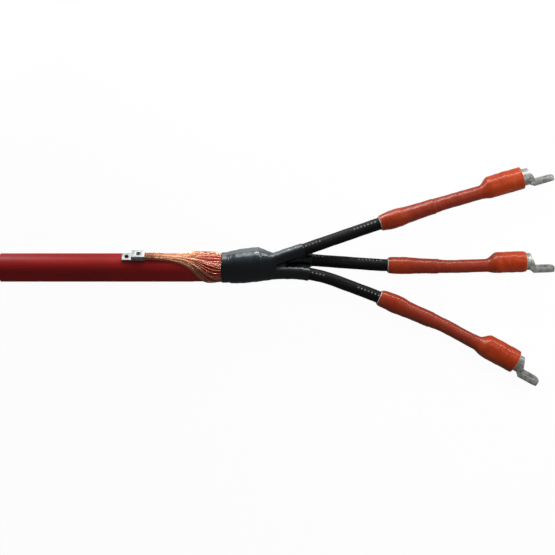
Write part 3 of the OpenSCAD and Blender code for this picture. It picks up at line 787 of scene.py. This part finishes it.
def makeBoot(b):
    solid = bootForm(b)
    dentBoot(b, solid)
    boreBoot(b, solid)
    solid.data.transform(Matrix.Scale(mm, 4))
    solid.data.shade_smooth()
    solid.data.materials.clear()
    solid.data.materials.append(finish["boot_black"])
    keep(solid, "boot_black", "breakout_boot")


makeBoot(bootSet)
print("boot made")


# screen wires, drawn along their paths by a node tree

wireSet = {"count": 42, "d": 1.0, "clear": 0.08, "bunches": 6, "bunch": 4.0, "tight": 4.0, "layers": 6,
           "layerPitch": 1.12, "angle": 41.0, "half": (39.2, 30.8), "rest": 0.032, "power": 3.0,
           "slack": 1.6, "riseLen": 12.0, "lift": 0.56, "earthAxisR": 32.55, "gather": 140.0, "end": 153.0,
           "flat": (0.55, 0.25), "cross": 0.95, "foldSteps": 8, "points": 60, "sides": 9, "seed": 5}


def spread(u, back):
    return wireSet["rest"] + (1 - wireSet["rest"]) / (1 + (u / wireSet["half"][back]) ** wireSet["power"])


def wirePath(i, luck):
    w = wireSet
    r = w["d"] / 2
    inR = cable["fillerR"] + r + w["clear"]
    outR = cable["sheathR"] - cable["abradedDepth"] + r + w["clear"]
    d = (i + 0.5) * 360 / w["count"] - 180  # degrees round the cable from the bundle
    wave = math.sin(math.radians(w["bunches"] * d))
    first = d + w["bunch"] * wave
    place = i % w["layers"]
    layer = place / 2 if place % 2 == 0 else (place - 1) / 2 + math.ceil(w["layers"] / 2)
    end, mid, half = cable["sheathLen"], (inR + outR) / 2, (outR - inR) / 2
    a = math.radians(w["angle"] + first)
    path = [(0.5, inR, a), (end - 2, inR, a)]
    for q in range(w["foldSteps"] + 1):  # folded back over the sheath's end
        h = math.pi * q / w["foldSteps"]
        path.append((end + r + 0.2 + 1.2 * math.sin(h), mid - half * math.cos(h), a))
    path.append((end - 2, outR, a))
    rise = w["earthAxisR"] - (w["layers"] - 1) / 2 * w["layerPitch"] - outR - w["slack"]
    sway, lift, beat = luck.uniform(-1, 1), luck.uniform(0, 1), luck.uniform(0, 6.28)
    flat = w["flat"][int(d > 0)]
    under = smooth((-d - 60) / 50)  # wires below the cable hug the sheath
    for u in np.linspace(0, w["end"], w["points"]):
        share = spread(u, int(d > 0))
        low = flat + (1 - flat) * smooth((u - 85) / 40)
        stack = max(layer * w["layerPitch"] * (1 - share) * low, (i % 2) * w["cross"] * smooth((u - 3) / 12))
        radius = outR + w["slack"] * (1 - 0.75 * under) * smooth(u / w["riseLen"]) + stack
        radius += rise * smooth((u / w["gather"] - w["lift"]) / (1 - w["lift"]))
        # wander of a hand-dressed wire, none at the boot and in the lug
        free = smooth((u - 2) / 18) * (1 - smooth((u - 100) / 30))
        loose = 0.7 * lift * abs(d) / 180 + 0.3 + 0.3 * math.sin(0.08 * u + beat)
        radius += free * loose * (1 - 0.7 * under)
        turn = first + w["tight"] * wave * smooth((u - 3) / 14) * (1 - smooth((u - 45) / 40))
        turn += free * (2.2 * sway * math.sin(0.05 * u + beat) + 1.5 * sway)
        path.append((bootSet["x"] - u, radius, math.radians(w["angle"] + turn * share)))
    return [Vector((x, r * math.sin(b), r * math.cos(b))) * mm for x, r, b in path]


def wireTree():
    tree = bpy.data.node_groups.new("wireTree", "GeometryNodeTree")
    tree.interface.new_socket("Geometry", in_out="INPUT", socket_type="NodeSocketGeometry")
    radius = tree.interface.new_socket("Wire radius", in_out="INPUT", socket_type="NodeSocketFloat")
    sides = tree.interface.new_socket("Sides", in_out="INPUT", socket_type="NodeSocketInt")
    tree.interface.new_socket("Geometry", in_out="OUTPUT", socket_type="NodeSocketGeometry")
    add, link = tree.nodes.new, tree.links.new
    start, end = add("NodeGroupInput"), add("NodeGroupOutput")
    ring, skin = add("GeometryNodeCurvePrimitiveCircle"), add("GeometryNodeCurveToMesh")
    real, paint = add("GeometryNodeRealizeInstances"), add("GeometryNodeSetMaterial")
    even, tone = add("GeometryNodeSetShadeSmooth"), add("GeometryNodeStoreNamedAttribute")
    luck = add("FunctionNodeRandomValue")
    tone.data_type, tone.domain = "FLOAT", "CURVE"
    tone.inputs["Name"].default_value = "tone"
    luck.inputs["Seed"].default_value = wireSet["seed"]
    skin.inputs["Fill Caps"].default_value = True
    paint.inputs["Material"].default_value = finish["copper"]
    link(start.outputs["Wire radius"], ring.inputs["Radius"])
    link(start.outputs["Sides"], ring.inputs["Resolution"])
    link(start.outputs["Geometry"], tone.inputs["Geometry"])
    link(luck.outputs[1], tone.inputs["Value"])
    link(tone.outputs["Geometry"], skin.inputs["Curve"])
    link(ring.outputs["Curve"], skin.inputs["Profile Curve"])
    link(skin.outputs["Mesh"], even.inputs["Geometry"])
    link(even.outputs["Geometry"], real.inputs["Geometry"])
    link(real.outputs["Geometry"], paint.inputs["Geometry"])
    link(paint.outputs["Geometry"], end.inputs["Geometry"])
    return tree, radius.identifier, sides.identifier


def makeWires():
    curve = bpy.data.curves.new("screenWireLines", "CURVE")
    curve.dimensions = "3D"
    luck = random.Random(wireSet["seed"])
    for i in range(wireSet["count"]):
        path = wirePath(i, luck)
        line = curve.splines.new("POLY")
        line.points.add(len(path) - 1)
        for point, place in zip(line.points, path):
            point.co = (*place, 1)
    lines = addObject("screenWireLines", curve)
    tree, radiusKey, sidesKey = wireTree()
    drawn = lines.modifiers.new("wires", "NODES")
    drawn.node_group = tree
    drawn[radiusKey] = wireSet["d"] / 2 * mm
    drawn[sidesKey] = wireSet["sides"]
    mesh = bpy.data.meshes.new_from_object(lines.evaluated_get(bpy.context.evaluated_depsgraph_get()))
    bpy.data.objects.remove(lines)
    keep(addObject("screenWires", mesh), "copper", "screen_wires")


makeWires()
print("screen wires made")


# metal pieces: copies of the solids with their edges eased, by a width in millimetres and angles in degrees

easeSet = {"merge": 0.00001, "flat": 1.0, "edge": 35.0, "sharp": 40.0, "segments": 2}
easedPieces = {"lug_1": ("lug1", "tin", 1.3), "lug_2": ("lug2", "tin", 1.3), "lug_3": ("lug3", "tin", 1.3),
               "earth_lug": ("earthLug", "earth_tin", 0.5), "earth_screw": ("earthScrew", "steel", 0.3)}


def easedCopy(e, node, name, slot, width):
    data = nodes[node].data.copy()
    mesh = bmesh.new()
    mesh.from_mesh(data)
    bmesh.ops.remove_doubles(mesh, verts=mesh.verts, dist=e["merge"])
    bmesh.ops.dissolve_limit(mesh, angle_limit=math.radians(e["flat"]), verts=mesh.verts, edges=mesh.edges)
    mesh.to_mesh(data)
    mesh.free()
    piece = addObject(name, data)
    ease = piece.modifiers.new("ease", "BEVEL")
    ease.width, ease.segments = width * mm, e["segments"]
    ease.limit_method, ease.angle_limit = "ANGLE", math.radians(e["edge"])
    ease.use_clamp_overlap = True
    settled(piece)
    piece.data.materials.clear()
    piece.data.materials.append(finish[slot])
    piece.data.shade_smooth()
    piece.data.set_sharp_from_angle(angle=math.radians(e["sharp"]))
    keep(piece, slot, node)


for node, settings in easedPieces.items():
    easedCopy(easeSet, node, *settings)
print("lugs eased")


# finishes of the nodes that stay, by name without the core's number

stays = {"outer_sheath": "sheath_red", "filler": "filler_grey", "crotch_mastic": "mastic",
         "conductor": "conductor", "insulation": "insulation", "core_screen": "core_screen",
         "stress_mastic": "mastic", "stress_tube": "stress_black", "lug_mastic": "mastic",
         "lug_bolts": "steel"}
for name, node in nodes.items():
    key = name[:-2] if name[-1] in "123" else name
    if key in stays:
        for place in node.material_slots:
            place.material = finish[stays[key]]
print("standing nodes finished")


# stage: a white world to the camera, dim as a light, with a pale backdrop behind the cable in gloss and metal

worldSet = {"fill": 0.14, "seen": 1.0, "behind": (0.3, 0.9), "mirrored": 0.45}
floorHalf = 6000.0


def makeWorld(w):
    sky = Paint("studio", bpy.data.worlds, "Background")
    scene.world = sky.owner
    seen, gloss = sky.rays("Is Camera Ray", "Is Glossy Ray")
    low, high = w["behind"]
    behind = sky.node("ShaderNodeMapRange", {}, {"Value": sky.axis("Y", "Generated"), "From Min": low,
                                                 "From Max": high, "To Max": w["mirrored"]})
    sky.set(Color=(1, 1, 1), Strength=w["fill"] + seen * (w["seen"] - w["fill"]) + gloss * behind)


def makeFloor(low):
    corners = ((-1, -1), (1, -1), (1, 1), (-1, 1))
    floor = meshPiece("floor", [(x * floorHalf, y * floorHalf, low / mm) for x, y in corners],
                      [(0, 1, 2, 3)], "floor")


makeCamera(cameraSet)
for lampName, settings in lampSet.items():
    makeLamp(lampName, *settings)
makeWorld(worldSet)
makeFloor(cadBox[0][2])
print("stage set")
